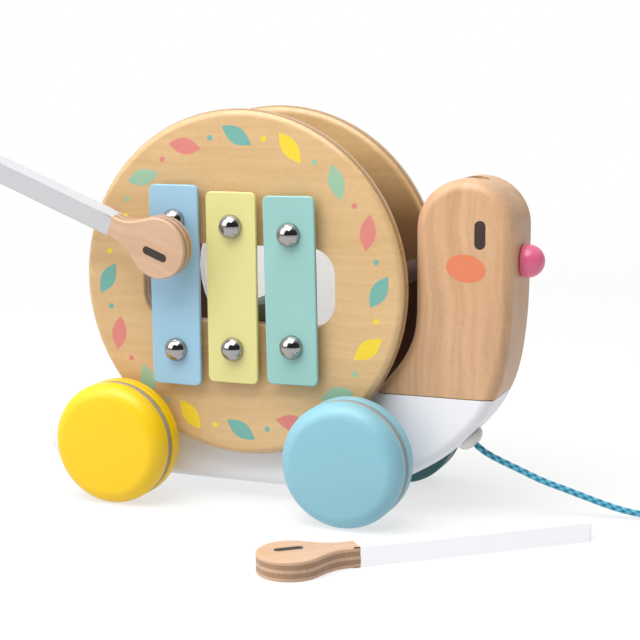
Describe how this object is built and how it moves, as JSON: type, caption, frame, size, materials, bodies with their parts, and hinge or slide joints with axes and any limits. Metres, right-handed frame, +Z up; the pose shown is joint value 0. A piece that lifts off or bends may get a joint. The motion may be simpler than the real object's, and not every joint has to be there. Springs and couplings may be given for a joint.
{
  "type": "pull along toy",
  "caption": "Wooden pull along snail on four wheels, with a disc shell that carries a metal bar xylophone, a pull cord and two mallets.",
  "frame": {"origin": "middle of the footprint of the toy and its two mallets, at floor height", "axes": "+X towards the snail's head, +Z up, and the xylophone faces -Y"},
  "size_m": [0.3853, 0.1712, 0.1805],
  "materials": {
    "axle_steel": "bright drawn",
    "ball_beech": "clear satin lacquer",
    "bar_long_enamel": "satin enamel",
    "bar_middle_enamel": "satin enamel",
    "bar_short_enamel": "satin enamel",
    "bell_steel": "dark polished",
    "blue_braid": "braided cord",
    "blue_lacquer": "gloss lacquer on turned beech",
    "bright_screw": "polished",
    "dowel_beech": "bare",
    "drum_skin": "white film",
    "foot_lacquer": "white satin lacquer on beech",
    "grey_felt": "felt",
    "head_beech": "clear satin lacquer, upright grain",
    "ivory_bead": "ivory lacquer",
    "mallet_plywood": "birch plywood, stick dipped in white lacquer",
    "nose_lacquer": "gloss lacquer",
    "shell_plywood": "birch plywood with clear gloss lacquer and printed leaves",
    "spacer_plastic": "natural",
    "teal_lacquer": "gloss lacquer on turned beech",
    "tie_tape": "woven tape",
    "tyre_rubber": "matt",
    "yellow_lacquer": "gloss lacquer on turned beech"
  },
  "bodies": {
    "toy": {"bar_long": "bar_long_enamel", "bar_middle": "bar_middle_enamel", "bar_short": "bar_short_enamel", "bell_gong": "bell_steel", "bell_post": "dowel_beech", "bell_screw": "bell_steel", "coil_tie": "tie_tape", "cord": "blue_braid", "cord_coil": "blue_braid", "cord_gland": "ivory_bead", "cord_tail": "blue_braid", "drum_skin": "drum_skin", "foot": "foot_lacquer", "head": "head_beech", "head_dowel_1": "dowel_beech", "head_dowel_2": "dowel_beech", "nose": "nose_lacquer", "pad_long_bottom": "grey_felt", "pad_long_top": "grey_felt", "pad_middle_bottom": "grey_felt", "pad_middle_top": "grey_felt", "pad_short_bottom": "grey_felt", "pad_short_top": "grey_felt", "pull_ball": "ball_beech", "screw_long_bottom": "bright_screw", "screw_long_top": "bright_screw", "screw_middle_bottom": "bright_screw", "screw_middle_top": "bright_screw", "screw_short_bottom": "bright_screw", "screw_short_top": "bright_screw", "shell_disc_far": "shell_plywood", "shell_disc_near": "shell_plywood", "shell_pin_1": "dowel_beech", "shell_pin_2": "dowel_beech", "shell_spacer_front": "dowel_beech", "shell_spacer_rear": "dowel_beech", "spacer_front_far": "spacer_plastic", "spacer_front_near": "spacer_plastic", "spacer_rear_far": "spacer_plastic", "spacer_rear_near": "spacer_plastic"},
    "front_wheels": {"front_axle": "axle_steel", "wheel_front_near": "blue_lacquer", "wheel_front_far": "teal_lacquer", "tyre_front_near": "tyre_rubber", "tyre_front_far": "tyre_rubber"},
    "rear_wheels": {"rear_axle": "axle_steel", "wheel_rear_near": "yellow_lacquer", "wheel_rear_far": "blue_lacquer", "tyre_rear_near": "tyre_rubber", "tyre_rear_far": "tyre_rubber"},
    "loose_mallet": {"mallet_floor": "mallet_plywood"},
    "held_mallet": {"mallet_striking": "mallet_plywood"}
  },
  "joints": [
    {"name": "front_wheels_roll", "type": "hinge", "parent": "toy", "child": "front_wheels", "pos_m": [0.0528, 0.0336, 0.0281], "axis": [0, 1, 0], "continuous": true},
    {"name": "rear_wheels_roll", "type": "hinge", "parent": "toy", "child": "rear_wheels", "pos_m": [-0.0609, 0.0336, 0.0281], "axis": [0, 1, 0], "continuous": true},
    {"name": "loose_mallet_lift", "type": "slide", "parent": "toy", "child": "loose_mallet", "axis": [0, 0, 1], "range_m": [0, 0.08]},
    {"name": "held_mallet_strike", "type": "slide", "parent": "toy", "child": "held_mallet", "axis": [0, -1, 0], "range_m": [-0.0025, 0.08]}
  ]
}
